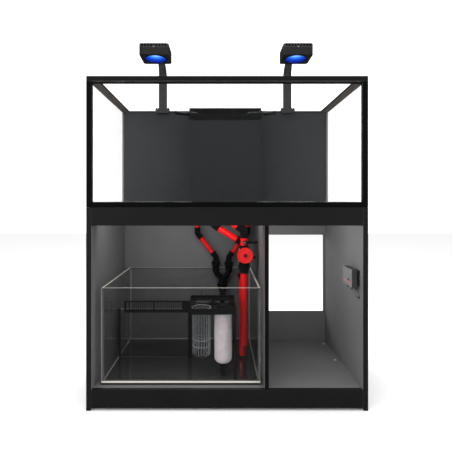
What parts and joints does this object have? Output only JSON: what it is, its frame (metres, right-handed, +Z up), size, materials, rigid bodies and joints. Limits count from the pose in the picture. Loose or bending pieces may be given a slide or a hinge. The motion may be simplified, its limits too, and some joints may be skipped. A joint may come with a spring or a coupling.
{
  "type": "aquarium on stand",
  "caption": "Framed glass aquarium on an open cabinet, with overflow weir, glass sump, red and black plumbing, wall controller and lamps on curved arms.",
  "frame": {"origin": "on the floor, at the middle of the object's box", "axes": "+Z up, -Y is the open front, +X to the viewer's right"},
  "size_m": [1.2, 0.612, 1.696],
  "materials": {
    "laminate": "satin laminate, near black outside and grey inside",
    "black_trim": "smooth black trim",
    "clear_glass": "clear polished glass",
    "grey_panel": "satin dark grey",
    "black_plastic": "moulded black plastic",
    "red_pipe": "smooth red pipe",
    "dark_metal": "dark anodised",
    "reflector_blue": "glossy, lit blue",
    "felt": "needled felt",
    "foam": "closed-cell foam",
    "grey_plastic": "satin grey plastic",
    "lead_rubber": "grey cable sheath"
  },
  "bodies": {
    "stand": {"side_panel_left": "laminate", "side_panel_right": "laminate", "plinth": "laminate", "floor_board": "laminate", "front_fascia": "laminate", "top_board": "laminate", "divider_panel": "laminate", "back_panel": "laminate", "tank_bottom_frame": "black_trim", "tank_top_frame": "black_trim", "tank_bottom_pane": "clear_glass", "tank_front_pane": "clear_glass", "tank_left_pane": "clear_glass", "tank_right_pane": "clear_glass", "tank_rear_pane": "clear_glass", "background_panel": "grey_panel", "weir_box": "grey_panel", "sump_mat": "foam", "sump_tank": "clear_glass", "sump_baffle": "clear_glass", "sump_partition": "clear_glass", "media_rack": "black_plastic", "drain_run": "red_pipe", "ball_valve_body": "red_pipe", "gate_valve_body": "black_plastic", "drain_union": "black_plastic", "drain_pipe": "red_pipe", "emergency_run": "red_pipe", "emergency_pipe": "red_pipe", "return_run_left": "red_pipe", "return_run_right": "red_pipe", "return_wye": "black_plastic", "return_pump": "black_plastic", "controller_case": "grey_plastic", "controller_bracket": "black_plastic", "controller_lead": "lead_rubber", "lead_grommet": "black_plastic", "lamp_bracket_left": "dark_metal", "lamp_arm_left": "dark_metal", "lamp_bracket_right": "dark_metal", "lamp_arm_right": "dark_metal"},
    "weir_comb": {"weir_comb": "black_plastic"},
    "strainer_comb": {"strainer_comb": "black_plastic"},
    "filter_sock": {"filter_sock": "felt"},
    "media_cup": {"media_cup": "clear_glass"},
    "valve_dial": {"gate_valve_dial": "red_pipe"},
    "valve_lever": {"ball_valve_lever": "black_plastic"},
    "nozzle_left": {"return_nozzle_left": "black_plastic"},
    "nozzle_right": {"return_nozzle_right": "black_plastic"},
    "controller_button": {"controller_button": "black_plastic"},
    "lamp_left": {"lamp_housing_left": "black_plastic", "heat_sink_left": "dark_metal", "reflector_left": "reflector_blue"},
    "lamp_button_left": {"lamp_button_left": "grey_plastic"},
    "clamp_left": {"clamp_knob_left": "black_plastic"},
    "lamp_right": {"lamp_housing_right": "black_plastic", "heat_sink_right": "dark_metal", "reflector_right": "reflector_blue"},
    "lamp_button_right": {"lamp_button_right": "grey_plastic"},
    "clamp_right": {"clamp_knob_right": "black_plastic"}
  },
  "joints": [
    {"name": "weir_comb_lift", "type": "slide", "parent": "stand", "child": "weir_comb", "axis": [0, 0, 1], "range_m": [0, 0.07]},
    {"name": "strainer_comb_lift", "type": "slide", "parent": "stand", "child": "strainer_comb", "axis": [0, 0, 1], "range_m": [0, 0.08]},
    {"name": "filter_sock_lift", "type": "slide", "parent": "stand", "child": "filter_sock", "axis": [0, 0, 1], "range_m": [0, 0.25]},
    {"name": "media_cup_lift", "type": "slide", "parent": "stand", "child": "media_cup", "axis": [0, 0, 1], "range_m": [0, 0.23]},
    {"name": "valve_dial_turn", "type": "hinge", "parent": "stand", "child": "valve_dial", "pos_m": [0.092, -0.094, 0.63], "axis": [0, 1, 0], "continuous": true},
    {"name": "valve_lever_turn", "type": "hinge", "parent": "stand", "child": "valve_lever", "pos_m": [0.089, -0.086, 0.692], "axis": [0, -1, 0], "range_deg": [0, 90]},
    {"name": "nozzle_left_swivel", "type": "hinge", "parent": "stand", "child": "nozzle_left", "pos_m": [-0.2, 0.204, 1.381], "axis": [1, 0, 0], "range_deg": [-45, 45]},
    {"name": "nozzle_right_swivel", "type": "hinge", "parent": "stand", "child": "nozzle_right", "pos_m": [0.2, 0.204, 1.381], "axis": [1, 0, 0], "range_deg": [-45, 45]},
    {"name": "controller_button_press", "type": "slide", "parent": "stand", "child": "controller_button", "axis": [1, 0, 0], "range_m": [0, 0.001], "stiffness_N_per_m": 400},
    {"name": "lamp_left_slide", "type": "slide", "parent": "stand", "child": "lamp_left", "axis": [0, 1, 0], "range_m": [-0.02, 0.055]},
    {"name": "lamp_button_left_press", "type": "slide", "parent": "lamp_left", "child": "lamp_button_left", "axis": [0, 1, 0], "range_m": [0, 0.001], "stiffness_N_per_m": 400},
    {"name": "clamp_left_turn", "type": "hinge", "parent": "stand", "child": "clamp_left", "pos_m": [-0.358, 0.294, 1.372], "axis": [0, 1, 0], "continuous": true},
    {"name": "lamp_right_slide", "type": "slide", "parent": "stand", "child": "lamp_right", "axis": [0, 1, 0], "range_m": [-0.02, 0.055]},
    {"name": "lamp_button_right_press", "type": "slide", "parent": "lamp_right", "child": "lamp_button_right", "axis": [0, 1, 0], "range_m": [0, 0.001], "stiffness_N_per_m": 400},
    {"name": "clamp_right_turn", "type": "hinge", "parent": "stand", "child": "clamp_right", "pos_m": [0.358, 0.294, 1.372], "axis": [0, 1, 0], "continuous": true}
  ]
}
